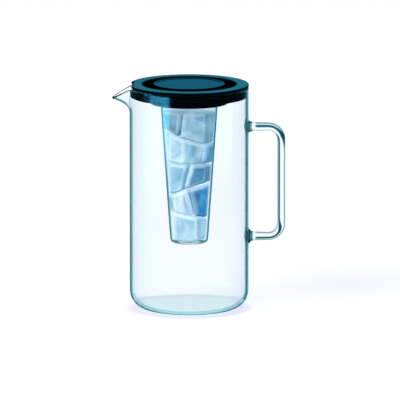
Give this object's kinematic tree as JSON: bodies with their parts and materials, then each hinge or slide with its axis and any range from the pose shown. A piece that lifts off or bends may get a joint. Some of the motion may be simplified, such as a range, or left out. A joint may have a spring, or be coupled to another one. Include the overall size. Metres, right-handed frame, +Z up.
{
  "type": "pitcher",
  "caption": "Cylindrical glass pitcher with a pulled spout, a bent rod handle and a plastic lid that carries a removable tube of ice.",
  "frame": {"origin": "centre of the jug's flat base, on the plane that it stands on", "axes": "+Z up along the jug's axis, spout towards -X, handle towards +X"},
  "size_m": [0.1813, 0.125, 0.2387],
  "materials": {
    "jug_glass": "clear, fire-polished",
    "handle_glass": "clear solid rod",
    "lid_plastic": "satin black moulding",
    "cap_plastic": "satin black moulding",
    "seal_rubber": "smooth silicone",
    "tube_plastic": "clear, lightly frosted",
    "ice": "cloudy ice, wet"
  },
  "bodies": {
    "jug": {"jug_body": "jug_glass", "handle": "handle_glass"},
    "seal": {"lid_seal": "seal_rubber"},
    "lid": {"lid": "lid_plastic"},
    "core": {"core_tube": "tube_plastic", "ice_cube_1": "ice", "ice_cube_2": "ice", "ice_cube_3": "ice", "ice_cube_4": "ice", "ice_cube_5": "ice", "ice_cube_6": "ice", "ice_cube_7": "ice", "ice_cube_8": "ice", "ice_cube_9": "ice", "ice_cube_10": "ice", "ice_cube_11": "ice", "ice_cube_12": "ice"},
    "cap": {"cap": "cap_plastic", "cap_seal": "seal_rubber"}
  },
  "joints": [
    {"name": "lid_lift", "type": "slide", "parent": "jug", "child": "seal", "axis": [0, 0, 1], "range_m": [0, 0.19]},
    {"name": "lid_turn", "type": "hinge", "parent": "seal", "child": "lid", "pos_m": [0, 0, 0.235], "axis": [0, 0, 1], "continuous": true},
    {"name": "core_lift", "type": "slide", "parent": "lid", "child": "core", "axis": [0, 0, 1], "range_m": [0, 0.19]},
    {"name": "cap_lift", "type": "slide", "parent": "core", "child": "cap", "axis": [0, 0, 1], "range_m": [0, 0.06]}
  ]
}
